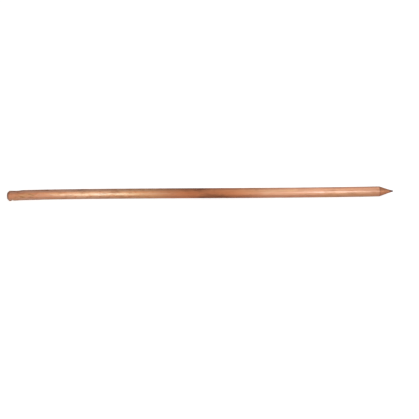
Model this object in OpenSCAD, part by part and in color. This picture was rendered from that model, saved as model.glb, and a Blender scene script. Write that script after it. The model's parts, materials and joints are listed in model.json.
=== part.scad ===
// Earth rod: one plain round bar with a rounded driving end and a turned point.
// Sizes are in millimetres. The rod lies along X with its point at +X,
// and the origin is on its axis, halfway along it.

/* [Shank] */
// Diameter of the shank, which an earth clamp grips
shank_d = 15.9; // [12.7:0.1:25.4]
// Length of the whole rod, from the driving face to the tip
rod_length = 610; // [300:1:3000]

/* [Driving end] */
// Radius of the round edge between the driving face and the shank
driving_edge_r = 4.5; // [0.5:0.1:5.5]

/* [Point] */
// Included angle of the conical point
point_angle = 37; // [20:1:90]
// Diameter of the blunt flat left on the tip
tip_d = 1.2; // [0.6:0.1:3]

/* [Hidden] */
$fn = 128;

copper = [0.80, 0.55, 0.41];

shank_r = shank_d / 2;
tip_r = tip_d / 2;
driving_face_r = shank_r - driving_edge_r;
point_length = (shank_r - tip_r) / tan(point_angle / 2);
shoulder = rod_length - point_length;

// Quarter of a disc that fills the corner at its centre's lower right
module quarter_round(r) {
    intersection() {
        circle(r);
        translate([0, -r])
            square(r);
    }
}

// Half of the rod's lengthwise section: x is the distance from the axis,
// and y the distance from the driving face
module half_section() {
    square([driving_face_r, driving_edge_r]);
    translate([driving_face_r, driving_edge_r])
        quarter_round(driving_edge_r);
    polygon([
        [0, driving_edge_r],
        [shank_r, driving_edge_r],
        [shank_r, shoulder],
        [tip_r, rod_length],
        [0, rod_length],
    ]);
}

// The whole rod, turned from its half section and laid along X
module rod() {
    color(copper)
        translate([-rod_length / 2, 0, 0])
            rotate([0, 90, 0])
                rotate_extrude()
                    half_section();
}

rod();
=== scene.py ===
import json
import math
from types import SimpleNamespace

import bpy
import numpy as np
from mathutils import Matrix, Vector


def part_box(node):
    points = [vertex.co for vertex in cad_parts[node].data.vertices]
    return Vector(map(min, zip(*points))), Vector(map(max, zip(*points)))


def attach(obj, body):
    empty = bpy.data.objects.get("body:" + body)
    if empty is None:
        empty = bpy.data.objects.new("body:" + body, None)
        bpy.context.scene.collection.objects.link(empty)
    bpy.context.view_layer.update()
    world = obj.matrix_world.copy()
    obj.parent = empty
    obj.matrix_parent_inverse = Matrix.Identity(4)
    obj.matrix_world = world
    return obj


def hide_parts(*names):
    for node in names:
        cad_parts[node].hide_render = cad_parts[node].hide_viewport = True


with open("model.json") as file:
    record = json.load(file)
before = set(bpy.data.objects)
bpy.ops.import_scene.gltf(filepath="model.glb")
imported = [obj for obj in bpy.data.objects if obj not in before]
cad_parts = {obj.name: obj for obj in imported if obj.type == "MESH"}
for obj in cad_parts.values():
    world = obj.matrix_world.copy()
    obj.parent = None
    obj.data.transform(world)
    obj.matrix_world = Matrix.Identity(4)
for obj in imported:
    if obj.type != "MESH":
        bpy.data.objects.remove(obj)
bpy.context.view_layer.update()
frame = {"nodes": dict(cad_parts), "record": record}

# Sizes of the rod in metres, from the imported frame

MM = 0.001
SAME_PLACE = 0.001 * MM


def flat_radius(x):
    """Radius of the flat that ends the solid at x: how far from the axis its corners there reach."""
    mesh = frame["nodes"]["rod"].data
    corners = np.empty(3 * len(mesh.vertices), dtype=np.float32)
    mesh.vertices.foreach_get("co", corners)
    corners = corners.reshape(-1, 3)
    at_end = corners[np.abs(corners[:, 0] - x) < SAME_PLACE]
    return float(np.hypot(at_end[:, 1], at_end[:, 2]).max())


rod_low, rod_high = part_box("rod")
mount_dims = {mount["name"]: mount["dims"] for mount in frame["record"]["mounts"]}
head_x = rod_low.x
tip_x = rod_high.x
rod_length = tip_x - head_x
shank_r = mount_dims["shank"]["r_mm"] * MM
shank_length = mount_dims["shank"]["length_mm"] * MM
face_r = flat_radius(head_x)
tip_r = flat_radius(tip_x)
head_edge_r = shank_r - face_r
point_length = rod_length - head_edge_r - shank_length
shoulder_x = tip_x - point_length
point_half_angle = math.atan2(shank_r - tip_r, point_length)

# Where the rod's axis ends in the photograph, in pixels of its square frame, x to the right and y down
PHOTO_PIXELS = 419
HEAD_PIXEL = (7.3, 194.84)
TIP_PIXEL = (393.1, 191.5)

# The photograph's view: a long lens, looking down on the rod
VIEW_ELEVATION = math.radians(60)
VIEW_DISTANCE = 2.0
SENSOR_WIDTH_MM = 36.0

# The axes of the view without its roll: towards the camera, up in the picture and to its right
view_back = Vector((0, -math.cos(VIEW_ELEVATION), math.sin(VIEW_ELEVATION)))
view_up = Vector((0, math.sin(VIEW_ELEVATION), math.cos(VIEW_ELEVATION)))
view_right = Vector((1, 0, 0))


# Mesh of the rod

# Points round the rod, steps along each stretch of its half section, and how far from the driving face the
# stretch with the cropping marks ends
AROUND = 112
FACE_STEPS = 40
EDGE_STEPS = 30
MARKED_STEPS = 84
SHANK_STEPS = 490
SHOULDER_STEPS = 8
CONE_STEPS = 220
TIP_STEPS = 10
MARKED_LENGTH = 30 * MM

# Rounding that use and turning leave on the shoulder and the tip
SHOULDER_BLEND_R = 0.8 * MM
TIP_EDGE_R = 0.35 * MM

# Straightness of the rod: how far its ends lie off its line, and the bends by which cropping has pressed
# one end aside, each in full up to the first distance from the driving face and gone at the second
BOW = 0.8 * MM
CROP_BENDS = (
    (0.8 * MM, 8 * MM, 30 * MM),
    (0.22 * MM, 40 * MM, 62 * MM),
)

# Fine screw line on the turned point, which ends just short of the tip and fades in and out
TURNING_PITCH = 0.55 * MM
TURNING_DEPTH = 0.03 * MM
TURNING_FROM_TIP = 0.5 * MM
TURNING_FADE = 1.0 * MM

# Worn rings on the driving face, with how far they wander in radians of a ring, and the distances behind
# the face between which they fade
FACE_RING_PITCH = 0.9 * MM
FACE_RING_DEPTH = 0.07 * MM
FACE_RING_WANDER = 0.7
FACE_RING_FADE = (0.1 * MM, 0.6 * MM)

# Waviness that drawing and handling leave in the copper, and where it fades at the shank's two ends
WAVES = 60
WAVE_HEIGHT = 0.004 * MM
WAVE_LENGTH = (8 * MM, 45 * MM)
MOST_WAVES_ROUND = 7
WAVE_SEED = 11
WAVE_FADE_FROM_FACE = (2 * MM, 8 * MM)
WAVE_FADE_FROM_SHOULDER = (0, 4 * MM)

# Lip that cropping has raised on one side of the driving end, and the nick behind it
LIP_HEIGHT = 0.6 * MM
LIP_FROM_FACE = 4.2 * MM
LIP_LENGTH = 1.8 * MM
NICK_DEPTH = 0.8 * MM
NICK_FROM_FACE = 8.2 * MM
NICK_LENGTH = 1.4 * MM
LIP_TURN = math.radians(210)
LIP_SPREAD = math.radians(35)

# Mark that the cropping jaw has pressed into the other side
JAW_DEPTH = 0.45 * MM
JAW_FROM_FACE = 16.0 * MM
JAW_LENGTH = 6.0 * MM
JAW_TURN = math.radians(30)
JAW_SPREAD = math.radians(45)

# Metal that hammering has taken off the round edge of the driving end, all round and on the worn side
# alone, with none gone inside the first distance from the axis
EDGE_WEAR = 0.45 * MM
SIDE_WEAR = 0.25 * MM
WEAR_FROM_FACE = 1.6 * MM
WEAR_LENGTH = 1.3 * MM
WEAR_FROM_AXIS = (1.5 * MM, 3.5 * MM)
WEAR_TURN = math.radians(30)
WEAR_SPREAD = math.radians(50)

# Slight hollow in the turned point, and the burr on its tip
HOLLOW_DEPTH = 0.12 * MM
HOLLOW_FROM_TIP = 11 * MM
HOLLOW_LENGTH = 6 * MM
BURR_HEIGHT = 0.3 * MM
BURR_FROM_TIP = 1.1 * MM
BURR_LENGTH = 0.8 * MM
BURR_FADE = 0.6 * MM

# Handling dents in the shank, with none near its ends
DENTS = 22
DENT_DEPTH = (0.05 * MM, 0.22 * MM)
DENT_LENGTH = (2.0 * MM, 7.0 * MM)
DENT_WIDTH = (1.2 * MM, 3.0 * MM)
DENT_MARGIN = 25 * MM
DENT_SEED = 5


def arc(centre_x, centre_r, radius, start, end, steps):
    """Points of a circle in the (x, r) plane, from the angle start to the angle end, measured from +x.

    x = centre_x + radius cos(angle) and r = centre_r + radius sin(angle); the first point is left out.
    """
    angle = np.linspace(start, end, steps + 1)[1:]
    return np.stack([centre_x + radius * np.cos(angle), centre_r + radius * np.sin(angle)], axis=1)


def line(start, end, steps):
    """Evenly spaced points of a straight stretch in the (x, r) plane; the first point is left out."""
    share = np.linspace(0, 1, steps + 1)[1:, None]
    return np.asarray(start) * (1 - share) + np.asarray(end) * share


def rod_meridian():
    """Half section of the rod as points (x, r), from the driving face to the tip.

    Straight stretches and arcs are joined end to end: driving face, round edge, the stretch that cropping
    has marked, the rest of the shank, blended shoulder, cone, and the tip's worn edge. The two points on
    the axis are left out, because they are single poles.
    """
    quarter = math.pi / 2
    lean = point_half_angle
    shoulder_run = SHOULDER_BLEND_R * math.tan(lean / 2)
    tip_run = TIP_EDGE_R * math.tan((quarter - lean) / 2)
    shoulder_r = shank_r - SHOULDER_BLEND_R
    cone_end = (tip_x - tip_run * math.cos(lean), tip_r + tip_run * math.sin(lean))
    face = line((head_x, 0), (head_x, face_r), FACE_STEPS)
    edge = arc(head_x + head_edge_r, face_r, head_edge_r, math.pi, quarter, EDGE_STEPS)
    marked = line(edge[-1], (head_x + MARKED_LENGTH, shank_r), MARKED_STEPS)
    shank = line(marked[-1], (shoulder_x - shoulder_run, shank_r), SHANK_STEPS)
    shoulder = arc(shank[-1][0], shoulder_r, SHOULDER_BLEND_R, quarter, quarter - lean, SHOULDER_STEPS)
    cone = line(shoulder[-1], cone_end, CONE_STEPS)
    tip_edge = arc(tip_x - TIP_EDGE_R, tip_r - tip_run, TIP_EDGE_R, quarter - lean, 0, TIP_STEPS)
    return np.concatenate([face, edge, marked, shank, shoulder, cone, tip_edge])


def smooth_step(value, low, high):
    """0 below low, 1 above high, and the cubic 3t^2 - 2t^3 of the share t between them."""
    share = np.clip((value - low) / (high - low), 0, 1)
    return share * share * (3 - 2 * share)


def bell(value, middle, spread):
    """1 at the middle, falling off on both sides as exp(-((value - middle) / spread)^2)."""
    return np.exp(-(((value - middle) / spread) ** 2))


def angle_between(angle, turn):
    """The angle from turn to angle, between minus and plus half a turn."""
    return np.mod(angle - turn + math.pi, 2 * math.pi) - math.pi


def turning_marks(x, angle):
    """Depth of the screw line: a cosine of the slant distance, moved on by one pitch in each turn."""
    slant = (x - shoulder_x) / math.cos(point_half_angle)
    ridge = np.cos(2 * math.pi * slant / TURNING_PITCH - angle)
    start = smooth_step(x - shoulder_x, 0, TURNING_FADE)
    end = smooth_step(tip_x - x, TURNING_FROM_TIP, TURNING_FROM_TIP + TURNING_FADE)
    return TURNING_DEPTH * start * end * (ridge - 1) / 2


def face_rings(x, r, angle):
    """Depth of the worn rings on the driving face: a cosine of the distance from the axis."""
    on_face = 1 - smooth_step(x - head_x, *FACE_RING_FADE)
    ring = np.cos(2 * math.pi * r / FACE_RING_PITCH + FACE_RING_WANDER * np.sin(2 * angle))
    return FACE_RING_DEPTH * on_face * (ring - 1) / 2


def waviness(x, angle):
    """Height of the waviness: a sum of cosines, each with its own length, count round the rod and phase.

    It fades by a smooth step at each end of the shank.
    """
    random = np.random.default_rng(WAVE_SEED)
    height = np.zeros(np.broadcast(x, angle).shape)
    for _ in range(WAVES):
        length = random.uniform(*WAVE_LENGTH)
        count = random.integers(-MOST_WAVES_ROUND, MOST_WAVES_ROUND + 1)
        phase = random.uniform(0, 2 * math.pi)
        height += WAVE_HEIGHT * np.cos(2 * math.pi * x / length + count * angle + phase)
    start = smooth_step(x - head_x, *WAVE_FADE_FROM_FACE)
    end = smooth_step(shoulder_x - x, *WAVE_FADE_FROM_SHOULDER)
    return height * start * end


def cropped_lip(x, angle):
    """Height of the lip less the depth of the nick: bell curves along the rod times one round it."""
    lip = LIP_HEIGHT * bell(x, head_x + LIP_FROM_FACE, LIP_LENGTH)
    nick = NICK_DEPTH * bell(x, head_x + NICK_FROM_FACE, NICK_LENGTH)
    return (lip - nick) * bell(angle_between(angle, LIP_TURN), 0, LIP_SPREAD)


def jaw_mark(x, angle):
    """Depth of the pressed mark: a bell curve along the rod times one round it."""
    along = bell(x, head_x + JAW_FROM_FACE, JAW_LENGTH)
    return -JAW_DEPTH * along * bell(angle_between(angle, JAW_TURN), 0, JAW_SPREAD)


def edge_wear(x, r, angle):
    """Depth of the wear on the driving end's edge: a bell curve along the rod, deeper by one round it."""
    depth = EDGE_WEAR + SIDE_WEAR * bell(angle_between(angle, WEAR_TURN), 0, WEAR_SPREAD)
    off_centre = smooth_step(r, *WEAR_FROM_AXIS)
    return -depth * off_centre * bell(x, head_x + WEAR_FROM_FACE, WEAR_LENGTH)


def point_wear(x):
    """Height of the burr less the depth of the hollow: a bell curve each, the burr's fading at the tip."""
    burr = BURR_HEIGHT * bell(x, tip_x - BURR_FROM_TIP, BURR_LENGTH)
    hollow = HOLLOW_DEPTH * bell(x, tip_x - HOLLOW_FROM_TIP, HOLLOW_LENGTH)
    return burr * smooth_step(tip_x - x, 0, BURR_FADE) - hollow


def dents(x, angle):
    """Depth of the dents: a sum of bell curves along the rod times bell curves round it."""
    random = np.random.default_rng(DENT_SEED)
    height = np.zeros(np.broadcast(x, angle).shape)
    for _ in range(DENTS):
        middle = random.uniform(head_x + DENT_MARGIN, shoulder_x - DENT_MARGIN)
        turn = random.uniform(0, 2 * math.pi)
        depth = random.uniform(*DENT_DEPTH)
        length = random.uniform(*DENT_LENGTH)
        width = random.uniform(*DENT_WIDTH)
        aside = angle_between(angle, turn) * shank_r
        height -= depth * bell(x, middle, length) * bell(aside, 0, width)
    return height


def sideways(x):
    """How far the rod's middle line lies off the X axis, along Y, at a place x.

    The third Legendre polynomial of the share of the length gives a shallow S, and smooth steps near the
    driving end the stretch that cropping has pressed aside.
    """
    share = np.clip((x - head_x) / rod_length * 2 - 1, -1, 1)
    shallow_s = (5 * share**3 - 3 * share) / 2
    pressed = sum(shift * (1 - smooth_step(x - head_x, near, far)) for shift, near, far in CROP_BENDS)
    return BOW * shallow_s - pressed


def closed_surface(grid, first_pole, last_pole):
    """Vertices and faces of a surface that is closed round its second parameter, with a pole at each end.

    Quads join each ring of the grid to the next, and a fan of triangles joins each end ring to its pole.
    """
    rings, around = grid.shape[:2]
    vertices = np.concatenate([grid.reshape(-1, 3), [first_pole, last_pole]])
    index = np.arange(rings * around).reshape(rings, around)
    beside = np.roll(index, -1, axis=1)
    first = np.full(around, rings * around)
    last = first + 1
    quads = np.stack([index[:-1], beside[:-1], beside[1:], index[1:]], axis=-1).reshape(-1, 4)
    first_fan = np.stack([first, beside[0], index[0]], axis=-1)
    last_fan = np.stack([last, index[-1], beside[-1]], axis=-1)
    return vertices, quads.tolist() + first_fan.tolist() + last_fan.tolist()


def rod_surface():
    """The rod's skin: its half section carried round the rod's middle line.

    A point of the half section at x and r first moves along the section's own normal by the sum of all
    marks, dents, waves and wear at that x and angle a. It then lies at (x, r cos a + sideways(x), r sin a).
    """
    section = rod_meridian()
    along = np.gradient(section, axis=0)
    normal = np.stack([-along[:, 1], along[:, 0]], axis=1)
    normal /= np.linalg.norm(normal, axis=1, keepdims=True)
    x, r = section[:, :1], section[:, 1:]
    angle = np.linspace(0, 2 * math.pi, AROUND, endpoint=False)[None, :]
    lift = turning_marks(x, angle) + face_rings(x, r, angle) + waviness(x, angle) + dents(x, angle)
    lift = lift + cropped_lip(x, angle) + jaw_mark(x, angle) + edge_wear(x, r, angle) + point_wear(x)
    x = x + normal[:, :1] * lift
    r = r + normal[:, 1:] * lift
    grid = np.stack([x, r * np.cos(angle) + sideways(x), r * np.sin(angle)], axis=-1)
    return closed_surface(grid, (head_x, sideways(head_x), 0), (tip_x, sideways(tip_x), 0))


def make_mesh_object(name, vertices, faces, material):
    """A smooth-shaded mesh object at the origin, with its place in its mesh."""
    mesh = bpy.data.meshes.new(name)
    mesh.from_pydata(vertices, [], faces)
    mesh.polygons.foreach_set("use_smooth", np.ones(len(faces), dtype=bool))
    mesh.materials.append(material)
    mesh.update()
    piece = bpy.data.objects.new(name, mesh)
    bpy.context.scene.collection.objects.link(piece)
    return piece


# Materials

# Colours of the copper, as linear red, green and blue
TAN_COPPER = (0.90, 0.63, 0.39)
PINK_COPPER = (0.94, 0.59, 0.43)
# Pale copper of rubbed mottle and flecks, and of the painted highlight in the polished stretch
PALE_COPPER_AND_HIGHLIGHT = (1.0, 0.82, 0.66)
# The pale colour of painted highlights
PAINTED_HIGHLIGHT_COPPER = (0.94, 0.76, 0.62)
RED_COPPER = (0.82, 0.43, 0.25)
# The darker, redder copper of the middle stretch's painted shade
MIDDLE_SHADE_COPPER = (0.80, 0.39, 0.22)
# Brown and red of tarnish, also used for painted shade
BROWN_TARNISH_AND_SHADE = (0.30, 0.145, 0.09)
RED_TARNISH_AND_SHADE = (0.47, 0.24, 0.14)
GREY_RIM = (0.26, 0.19, 0.15)
DARK_OCHRE = (0.46, 0.28, 0.13)
PALE_OCHRE = (0.80, 0.59, 0.37)
DARK_TIP = (0.18, 0.10, 0.12)

# Noise in the copper: features a metre along the rod and across it, detail and roughness
PATTERNS = {
    "film": (9, 60, 3, 0.55),
    "blotches": (40, 150, 6, 0.62),
    "mottle": (60, 320, 6, 0.66),
    "flecks": (130, 260, 3, 0.6),
    "streaks": (16, 420, 3, 0.55),
    "draw_lines": (3, 1100, 4, 0.55),
    "pits": (420, 420, 3, 0.55),
    "scuffs": (500, 500, 4, 0.55),
}

# Layers that follow one of these patterns: two values of the noise, and the layer's strength at each
PINK_FILM = (0.38, 0.62, 0.0, 1.0)
# Polished streaks, which also paint the left highlight's pale colour
POLISHED_AND_HIGHLIGHT_STREAKS = (0.3, 0.6, 0.0, 1.0)
PALE_MOTTLE = (0.5, 0.7, 0.0, 0.6)
PALE_FLECKS = (0.52, 0.7, 0.0, 0.5)
RED_FLECKS = (0.3, 0.48, 0.75, 0.0)
RED_LINES = (0.35, 0.75, 0.0, 0.3)
RED_STREAKS = (0.5, 0.75, 0.0, 0.5)
BROWN_BLOTCHES = (0.5, 0.8, 0.0, 0.5)
BROWN_PITS = (0.68, 0.78, 0.0, 0.35)
DULL_MOTTLE = (0.3, 0.5, 0.28, 0.0)
RED_IN_BROWN = (0.38, 0.6, 0.0, 1.0)
# Patches in the spots of painted shade
PATCHY_PAINTED_SHADE = (0.35, 0.62, 0.7, 1.2)
PATCHY_STAIN = (0.4, 0.55, 0.5, 1.0)
STRUCK_SCUFFS = (0.4, 0.6, 0.2, 0.8)

# Layers that follow the rod's length: two places along X, and the layer's strength at each
HANDLED = (-110 * MM, -50 * MM, 1.0, 0.3)
TURNED = (shoulder_x - 0.5 * MM, shoulder_x + 1.5 * MM, 0.0, 0.75)
HEAD_RIM = (head_x + 0.6 * MM, head_x + 3.4 * MM, 0.85, 0.0)
SHOULDER_LINE_START = (shoulder_x - 0.9 * MM, shoulder_x + 0.2 * MM, 0.0, 1.0)
SHOULDER_LINE_END = (shoulder_x + 0.8 * MM, shoulder_x + 2.2 * MM, 0.35, 0.0)
DARKENED_TIP = (tip_x - 8 * MM, tip_x - 2 * MM, 0.0, 1.0)

# Polished stretch, whose pale streaks also paint a highlight, and middle stretch of painted shade: middle
# along X and reach on both sides
POLISHED_AND_HIGHLIGHT = (-172 * MM, 74 * MM)
SHADED_MIDDLE = (18 * MM, 110 * MM)

# Shares of the way in from the edge at which the middle stretch of painted shade and the struck face begin
# and are full
SHADED_MIDDLE_FADE = (0.0, 0.8)
STRUCK_FADE = (0.15, 0.5)
STRUCK_R = 5 * MM

# Spots on the skin: place along X, height in the view, reach along X and spread, all in millimetres, and
# strength
# Painted shade: dark spots placed by the view's axes along the rod's edges and beside its highlights, with
# a few dark marks near the driving end
PAINTED_SHADE_SPOTS = (
    # Painted shade along the upper edge of the view and above the highlights
    (-302, 5.5, 5, 5, 0.8),
    (-294, 7.6, 20, 4, 0.8),
    (-286, 7.9, 34, 5, 0.8),
    (-245, 7.5, 32, 4.5, 0.95),
    (-192, 7.8, 32, 4.5, 0.5),
    (-110, 7.9, 170, 6, 0.8),
    (-44, 7.9, 50, 8, 0.6),
    (-40, 4.6, 34, 5.5, 0.3),
    (-10, 7.9, 40, 12, 1.2),
    (3, 5.5, 14, 7, 0.4),
    (14, 3.0, 40, 12, 0.22),
    (105, 4.4, 80, 5, 0.14),
    (266, 7.5, 30, 5, 0.3),
    # Painted shade along its lower edge and below the highlights
    (-301, -7.5, 6, 5, 0.9),
    (-266, -4.4, 11, 2.6, 0.75),
    (-268, -7.9, 22, 5, 0.85),
    (-160, -4.6, 60, 4, 0.2),
    (-40, -5.5, 46, 5, 0.2),
    (19, -7.9, 48, 14, 1.6),
    (62, -7.9, 48, 8, 0.9),
    (72, -4.0, 44, 3, 0.3),
    (86, -7.9, 34, 5, 0.6),
    (262, -7.7, 40, 4.5, 0.3),
    (287, -6.5, 13, 4, 0.5),
    (291, -7.9, 9, 7, 1.8),
    (298, -7.9, 9, 8, 1.2),
)
STAIN_SPOTS = (
    (-283, -3.1, 12, 3.2, 0.9),
    (-267, 0.0, 9, 2.6, 0.8),
)
WASH_SPOTS = ((-275, -0.6, 22, 4.5, 0.85),)
# Painted highlights: pale spots on the view's highlight lines, and a pale painted reflection above the
# lower edge near the driving end
PAINTED_HIGHLIGHT_SPOTS = (
    (-268, -5.6, 60, 2.8, 0.7),
    (-157, 0.2, 18, 3.2, 0.6),
    (-60, 0.0, 34, 3.0, 0.35),
    (107, 0.5, 14, 3.0, 0.4),
    (183, 0.0, 24, 3.0, 0.4),
)

# Noise that makes the outlines of the spots uneven: features a metre along X, Y and Z, detail, roughness,
# and how far it moves them from its lowest to its highest value
WANDER_FEATURES = (90, 260, 260)
WANDER_DETAIL = 3
WANDER_ROUGHNESS = 0.55
WANDER_SPAN = (30 * MM, 9 * MM, 9 * MM)
MIDDLE_GREY = (0.5, 0.5, 0.5)

# Roughness by how tarnished the copper is and how much shade is painted on it, what the draw lines add to
# it, and the bump of lines and pits
TARNISH_AND_SHADE_ROUGHNESS = (0.0, 0.8, 0.35, 0.55)
LINE_ROUGHNESS = (0.3, 0.7, -0.03, 0.03)
LINE_HEIGHT = 0.6
PIT_HEIGHT = 0.4
BUMP_STRENGTH = 0.25
BUMP_DISTANCE = 0.1 * MM

# Sockets of the Mix node for colours
MIX_SHARE, MIX_FIRST, MIX_SECOND = 0, 6, 7
MIX_RESULT = 2


def new_material(name):
    """An empty node material: the material, its tree and its Principled shader."""
    material = bpy.data.materials.new(name)
    material.use_nodes = True
    return material, material.node_tree, material.node_tree.nodes["Principled BSDF"]


def is_socket(value):
    """Whether a value is another node's socket, to be linked, and not a number or a colour."""
    return isinstance(value, bpy.types.NodeSocket)


def add_node(tree, kind, inputs=None, **settings):
    """A new node with its settings. An input is linked where it is a socket, and otherwise set."""
    node = tree.nodes.new(kind)
    for name, value in settings.items():
        setattr(node, name, value)
    for key, value in (inputs or {}).items():
        if is_socket(value):
            tree.links.new(value, node.inputs[key])
        else:
            node.inputs[key].default_value = value
    return node


def blend(tree, share, first, second):
    """The colour between first and second at a share from 0 to 1."""
    first, second = (colour if is_socket(colour) else (*colour, 1) for colour in (first, second))
    inputs = {MIX_SHARE: share, MIX_FIRST: first, MIX_SECOND: second}
    return add_node(tree, "ShaderNodeMix", inputs, data_type="RGBA").outputs[MIX_RESULT]


def ramp(tree, value, low, high, to_low=0.0, to_high=1.0):
    """to_low where a value is below low, to_high where it is above high, and a smooth step between."""
    inputs = {"Value": value, "From Min": low, "From Max": high, "To Min": to_low, "To Max": to_high}
    return add_node(tree, "ShaderNodeMapRange", inputs, interpolation_type="SMOOTHSTEP").outputs[0]


def maths(tree, operation, first, second):
    """The sum, product or other result of two numbers."""
    return add_node(tree, "ShaderNodeMath", {0: first, 1: second}, operation=operation).outputs[0]


def vector_maths(tree, operation, *vectors):
    """The node for an operation on vectors."""
    return add_node(tree, "ShaderNodeVectorMath", dict(enumerate(vectors)), operation=operation)


def stretched_noise(tree, coordinates, features, detail, roughness):
    """The node for noise with so many features a metre along X, Y and Z."""
    scaled = add_node(tree, "ShaderNodeMapping", {"Vector": coordinates, "Scale": features})
    inputs = {"Vector": scaled.outputs[0], "Scale": 1.0, "Detail": detail, "Roughness": roughness}
    return add_node(tree, "ShaderNodeTexNoise", inputs)


def noise(tree, coordinates, along, across, detail, roughness):
    """Noise with so many features a metre along the rod and across it."""
    return stretched_noise(tree, coordinates, (along, across, across), detail, roughness).outputs[0]


def wandering(tree, coordinates):
    """Coordinates moved about by noise, so that a spot placed by them gets an uneven outline."""
    wander = stretched_noise(tree, coordinates, WANDER_FEATURES, WANDER_DETAIL, WANDER_ROUGHNESS)
    centred = vector_maths(tree, "SUBTRACT", wander.outputs[1], MIDDLE_GREY).outputs[0]
    return vector_maths(tree, "MULTIPLY_ADD", centred, WANDER_SPAN, coordinates).outputs[0]


def patch(tree, coordinates, centre, reach):
    """1 at a centre, falling evenly to 0 at an ellipsoid of the given reach along X, Y and Z."""
    scale = [1 / distance for distance in reach]
    shift = [-place / distance for place, distance in zip(centre, reach)]
    inputs = {"Vector": coordinates, "Location": shift, "Scale": scale}
    local = add_node(tree, "ShaderNodeMapping", inputs).outputs[0]
    ball = add_node(tree, "ShaderNodeTexGradient", {"Vector": local}, gradient_type="SPHERICAL")
    return ball.outputs["Fac"]


def stretch(tree, coordinates, middle, reach):
    """1 at a place along the rod, falling to 0 at the reach on both sides."""
    return patch(tree, coordinates, (middle, 0, 0), (reach, reach, reach))


def skin_place(along, up):
    """The place on the near side of the rod's skin, so far along X and so far up in the view."""
    out = math.sqrt(shank_r**2 - up**2)
    return view_right * along + view_up * up + view_back * out + Vector((0, sideways(along), 0))


def spots(tree, coordinates, places):
    """The sum of soft spots on the skin."""
    total = 0.0
    for along, up, reach, spread, strength in places:
        middle = skin_place(along * MM, up * MM)
        spot = patch(tree, coordinates, middle, (reach * MM, spread * MM, spread * MM))
        total = maths(tree, "ADD", ramp(tree, spot, 0.0, 1.0, 0.0, strength), total)
    return total


def skin_patterns(tree):
    """What the copper's layers are made from: places on the skin, the handled stretch and the noise."""
    place = add_node(tree, "ShaderNodeTexCoord").outputs["Object"]
    x = add_node(tree, "ShaderNodeSeparateXYZ", {0: place}).outputs[0]
    handled = ramp(tree, x, *HANDLED)
    patterns = {name: noise(tree, place, *values) for name, values in PATTERNS.items()}
    return SimpleNamespace(place=place, x=x, uneven=wandering(tree, place), handled=handled, **patterns)


def bare_copper(tree, skin):
    """Clean copper: a tan and pink film, paler in rubbed mottle and flecks and in polished streaks that
    also paint a highlight, redder in specks, lines and streaks.

    It is darker and redder all over in the middle stretch, which is painted shade, and redder on the turned
    point.
    """
    colour = blend(tree, ramp(tree, skin.film, *PINK_FILM), TAN_COPPER, PINK_COPPER)
    # Pale streaks in the polished stretch, which also paint the left highlight's pale colour
    streaked = ramp(tree, skin.streaks, *POLISHED_AND_HIGHLIGHT_STREAKS)
    polished_and_highlight = maths(tree, "MULTIPLY", stretch(tree, skin.place, *POLISHED_AND_HIGHLIGHT), streaked)
    colour = blend(tree, polished_and_highlight, colour, PALE_COPPER_AND_HIGHLIGHT)
    handling = (
        (skin.mottle, PALE_MOTTLE, PALE_COPPER_AND_HIGHLIGHT),
        (skin.flecks, PALE_FLECKS, PALE_COPPER_AND_HIGHLIGHT),
        (skin.flecks, RED_FLECKS, RED_COPPER),
    )
    for pattern, strength, tint in handling:
        share = maths(tree, "MULTIPLY", skin.handled, ramp(tree, pattern, *strength))
        colour = blend(tree, share, colour, tint)
    colour = blend(tree, ramp(tree, skin.draw_lines, *RED_LINES), colour, RED_COPPER)
    colour = blend(tree, ramp(tree, skin.streaks, *RED_STREAKS), colour, RED_COPPER)
    # Darker, redder copper in the middle stretch: painted shade between the two highlights
    shaded_middle = ramp(tree, stretch(tree, skin.place, *SHADED_MIDDLE), *SHADED_MIDDLE_FADE)
    colour = blend(tree, shaded_middle, colour, MIDDLE_SHADE_COPPER)
    return blend(tree, ramp(tree, skin.x, *TURNED), colour, RED_COPPER)


def tarnish_and_shade_share(tree, skin):
    """How tarnished the copper is and how much shade is painted on it: blotches, pits and a dull mottle
    where it is handled, which are tarnish, and uneven spots of painted shade.
    """
    blotched = ramp(tree, skin.blotches, *BROWN_BLOTCHES)
    pitted = ramp(tree, skin.pits, *BROWN_PITS)
    dull = maths(tree, "MULTIPLY", skin.handled, ramp(tree, skin.mottle, *DULL_MOTTLE))
    patchy = ramp(tree, skin.mottle, *PATCHY_PAINTED_SHADE)
    # Spots of painted shade along the view's edges, broken up by the mottle
    spotted = maths(tree, "MULTIPLY", spots(tree, skin.uneven, PAINTED_SHADE_SPOTS), patchy)
    share = maths(tree, "ADD", blotched, pitted)
    share = maths(tree, "ADD", share, dull)
    return maths(tree, "ADD", share, spotted)


def tarnish_shade_and_highlights(tree, skin, colour, tarnish_and_shade):
    """Brown and red tarnish and painted shade over a colour, and pale painted highlights in a few spots."""
    browned = blend(tree, ramp(tree, skin.mottle, *RED_IN_BROWN), BROWN_TARNISH_AND_SHADE, RED_TARNISH_AND_SHADE)
    colour = blend(tree, tarnish_and_shade, colour, browned)
    # Pale painted highlights in a few spots
    return blend(tree, spots(tree, skin.uneven, PAINTED_HIGHLIGHT_SPOTS), colour, PAINTED_HIGHLIGHT_COPPER)


def stained(tree, skin, colour):
    """The stain near the driving end over a colour: a pale wash, and darker patches in it."""
    colour = blend(tree, spots(tree, skin.uneven, WASH_SPOTS), colour, PALE_OCHRE)
    patchy = ramp(tree, skin.mottle, *PATCHY_STAIN)
    stain = maths(tree, "MULTIPLY", spots(tree, skin.uneven, STAIN_SPOTS), patchy)
    return blend(tree, stain, colour, DARK_OCHRE)


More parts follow.
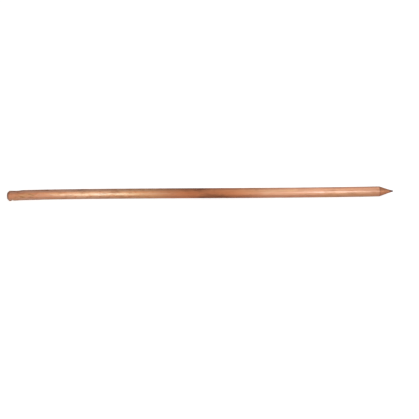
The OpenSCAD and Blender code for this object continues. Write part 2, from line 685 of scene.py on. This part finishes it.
def driven_end(tree, skin, colour):
    """The driving end over a colour: a dark rim, and a face that blows have scuffed down to red copper."""
    colour = blend(tree, ramp(tree, skin.x, *HEAD_RIM), colour, GREY_RIM)
    face = patch(tree, skin.place, (head_x, sideways(head_x), 0), (STRUCK_R, STRUCK_R, STRUCK_R))
    scuffed = ramp(tree, skin.scuffs, *STRUCK_SCUFFS)
    struck = maths(tree, "MULTIPLY", ramp(tree, face, *STRUCK_FADE), scuffed)
    return blend(tree, struck, colour, RED_COPPER)


def pointed_end(tree, skin, colour):
    """The point over a colour: a dark line round its shoulder, and a dark tip."""
    start = ramp(tree, skin.x, *SHOULDER_LINE_START)
    end = ramp(tree, skin.x, *SHOULDER_LINE_END)
    colour = blend(tree, maths(tree, "MULTIPLY", start, end), colour, BROWN_TARNISH_AND_SHADE)
    return blend(tree, ramp(tree, skin.x, *DARKENED_TIP), colour, DARK_TIP)


def copper_roughness(tree, skin, tarnish_and_shade):
    """Satin copper, rougher where it is tarnished and where shade is painted, and a little uneven along the
    draw lines.
    """
    by_tarnish_and_shade = ramp(tree, tarnish_and_shade, *TARNISH_AND_SHADE_ROUGHNESS)
    return maths(tree, "ADD", by_tarnish_and_shade, ramp(tree, skin.draw_lines, *LINE_ROUGHNESS))


def copper_bump(tree, skin):
    """The bump of draw lines and pits that are too fine for the mesh."""
    lines = maths(tree, "MULTIPLY", skin.draw_lines, LINE_HEIGHT)
    height = maths(tree, "ADD", lines, maths(tree, "MULTIPLY", skin.pits, PIT_HEIGHT))
    inputs = {"Strength": BUMP_STRENGTH, "Distance": BUMP_DISTANCE, "Height": height}
    return add_node(tree, "ShaderNodeBump", inputs).outputs[0]


def copper():
    """Drawn copper in layers: bare metal with a painted highlight and painted shade in two stretches,
    tarnish and painted shade with spots of painted highlight, the stain, and the two worked ends.
    """
    material, tree, shader = new_material("copper")
    skin = skin_patterns(tree)
    tarnish_and_shade = tarnish_and_shade_share(tree, skin)
    colour = bare_copper(tree, skin)
    colour = tarnish_shade_and_highlights(tree, skin, colour, tarnish_and_shade)
    colour = stained(tree, skin, colour)
    colour = driven_end(tree, skin, colour)
    colour = pointed_end(tree, skin, colour)
    tree.links.new(colour, shader.inputs["Base Color"])
    tree.links.new(copper_roughness(tree, skin, tarnish_and_shade), shader.inputs["Roughness"])
    tree.links.new(copper_bump(tree, skin), shader.inputs["Normal"])
    shader.inputs["Metallic"].default_value = 1.0
    return material


# Stage

# A matt floor, lit from within a little so that it stays white round the rod
FLOOR_HALF = 15.0
FLOOR_GREY = (0.8, 0.8, 0.8)
FLOOR_ROUGHNESS = 0.9
FLOOR_GLOW = 0.7

# Colours of the room in reflections, and the parts of a direction along a view axis at which they blend
ROOM_BELOW = (0.52, 0.37, 0.31)
ROOM_ABOVE = (0.40, 0.32, 0.30)
ROOM_IN_FRONT = (0.49, 0.29, 0.20)
ROOM_BEHIND = (0.19, 0.165, 0.14)
ROOM_GREY = (0.4, 0.4, 0.4)
WHITE = (1, 1, 1)
BELOW_TO_ABOVE = (-0.5, 0.5)
ROOM_TO_FRONT = (0.45, 0.9)
BEHIND_TO_ROOM = (-0.9, -0.45)

# Soft lights: place to the right, up and back in the view, width and height, radiance, and tilt in degrees
SOFTBOXES = {
    "left_softbox": ((-0.20, -0.075, 0.30), (0.20, 0.90), (0.45, 0.31, 0.21), 0),
    "left_front_softbox": ((-0.182, -0.060, 0.23), (0.13, 0.18), (0.50, 1.06, 1.30), 0),
    "right_softbox": ((0.18, 0.15, 0.30), (0.24, 1.05), (0.40, 0.455, 0.41), 0),
    "right_front_softbox": ((0.25, 0.02, 0.29), (0.10, 0.15), (0.95, 1.24, 1.71), 0),
    "right_top_softbox": ((0.25, 0.525, 0.29), (0.30, 0.30), (0.72, 0.56, 0.41), 0),
    "right_rim_softbox": ((0.26, 0.50, 0.02), (0.32, 0.40), (0.40, 0.31, 0.27), 90),
    "point_softbox": ((0.68, 0.0, 0.35), (0.15, 0.4), (1.0, 1.0, 1.0), 0),
    "back_softbox": ((0.0, 0.13, -0.483), (0.80, 0.22), (0.95, 0.82, 0.72), 165),
}


def pale_floor():
    """The matt white of the floor."""
    material, _, shader = new_material("pale_floor")
    shader.inputs["Base Color"].default_value = (*FLOOR_GREY, 1)
    shader.inputs["Roughness"].default_value = FLOOR_ROUGHNESS
    shader.inputs["Emission Color"].default_value = (*WHITE, 1)
    shader.inputs["Emission Strength"].default_value = FLOOR_GLOW
    return material


def make_floor():
    """A flat square under the rod."""
    corners = [(-1, -1), (1, -1), (1, 1), (-1, 1)]
    vertices = [(x * FLOOR_HALF, y * FLOOR_HALF, rod_low.z) for x, y in corners]
    floor = make_mesh_object("floor", vertices, [(0, 1, 2, 3)], pale_floor())
    floor.visible_glossy = False
    floor.visible_shadow = False


def make_softbox(name, place, size, radiance, tilt):
    """A rectangular light placed in the view's own axes, unseen by the camera.

    It faces straight away from the camera at no tilt, down in the picture at 90 degrees, and back at the
    camera at 180. Its power is pi times its area, so that its colour is its radiance.
    """
    right, up, back = place
    width, height = size
    data = bpy.data.lights.new(name, "AREA")
    data.shape = "RECTANGLE"
    data.size = width
    data.size_y = height
    data.energy = math.pi * width * height
    data.color = radiance
    light = bpy.data.objects.new(name, data)
    middle = view_right * right + view_up * up + view_back * back
    axes = Matrix((view_right, view_up, view_back)).transposed()
    tilted = Matrix.Rotation(-math.radians(tilt), 4, "X")
    light.matrix_world = Matrix.Translation(middle) @ axes.to_4x4() @ tilted
    light.visible_camera = False
    bpy.context.scene.collection.objects.link(light)


def make_world():
    """White to the camera, a dim warm room to reflections, and an even grey to everything else.

    A direction's part along the view's up axis blends the room below into the room above. Its part along
    the view's back axis then blends in the room in front of the rod, where the camera is, and the room
    behind it.
    """
    world = bpy.data.worlds.new("studio")
    bpy.context.scene.world = world
    world.use_nodes = True
    tree = world.node_tree
    direction = add_node(tree, "ShaderNodeTexCoord").outputs["Generated"]
    up_part = vector_maths(tree, "DOT_PRODUCT", direction, view_up).outputs["Value"]
    back_part = vector_maths(tree, "DOT_PRODUCT", direction, view_back).outputs["Value"]
    path = add_node(tree, "ShaderNodeLightPath")
    room = blend(tree, ramp(tree, up_part, *BELOW_TO_ABOVE), ROOM_BELOW, ROOM_ABOVE)
    room = blend(tree, ramp(tree, back_part, *ROOM_TO_FRONT), room, ROOM_IN_FRONT)
    room = blend(tree, ramp(tree, back_part, *BEHIND_TO_ROOM), ROOM_BEHIND, room)
    lighting = blend(tree, path.outputs["Is Glossy Ray"], ROOM_GREY, room)
    seen = blend(tree, path.outputs["Is Camera Ray"], lighting, WHITE)
    tree.links.new(seen, tree.nodes["Background"].inputs["Color"])


def make_camera():
    """The photograph's camera: it puts the two ends of the rod's axis on their pixels.

    The rod's length over its length in pixels gives the size of a pixel at the rod, and so the lens. The
    line between the end pixels gives the roll, and their midpoint where the camera aims.
    """
    across = TIP_PIXEL[0] - HEAD_PIXEL[0]
    rise = HEAD_PIXEL[1] - TIP_PIXEL[1]
    pixel = rod_length / math.hypot(across, rise)
    roll = math.atan2(rise, across)
    right = view_right * math.cos(roll) - view_up * math.sin(roll)
    up = view_right * math.sin(roll) + view_up * math.cos(roll)
    frame_middle = PHOTO_PIXELS / 2
    middle_right = (HEAD_PIXEL[0] + TIP_PIXEL[0]) / 2 - frame_middle
    middle_up = frame_middle - (HEAD_PIXEL[1] + TIP_PIXEL[1]) / 2
    rod_middle = Vector(((head_x + tip_x) / 2, 0, 0))
    aim = rod_middle - (right * middle_right + up * middle_up) * pixel
    data = bpy.data.cameras.new("camera")
    data.sensor_width = SENSOR_WIDTH_MM
    data.lens = SENSOR_WIDTH_MM * VIEW_DISTANCE / (PHOTO_PIXELS * pixel)
    camera = bpy.data.objects.new("camera", data)
    axes = Matrix((right, up, view_back)).transposed()
    camera.matrix_world = Matrix.Translation(aim + view_back * VIEW_DISTANCE) @ axes.to_4x4()
    bpy.context.scene.collection.objects.link(camera)
    bpy.context.scene.camera = camera


make_camera()
make_world()
make_floor()
for softbox, settings in SOFTBOXES.items():
    make_softbox(softbox, *settings)
bpy.context.scene.view_settings.view_transform = "Standard"

rod = make_mesh_object("rod_skin", *rod_surface(), copper())
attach(rod, "root")
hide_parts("rod")
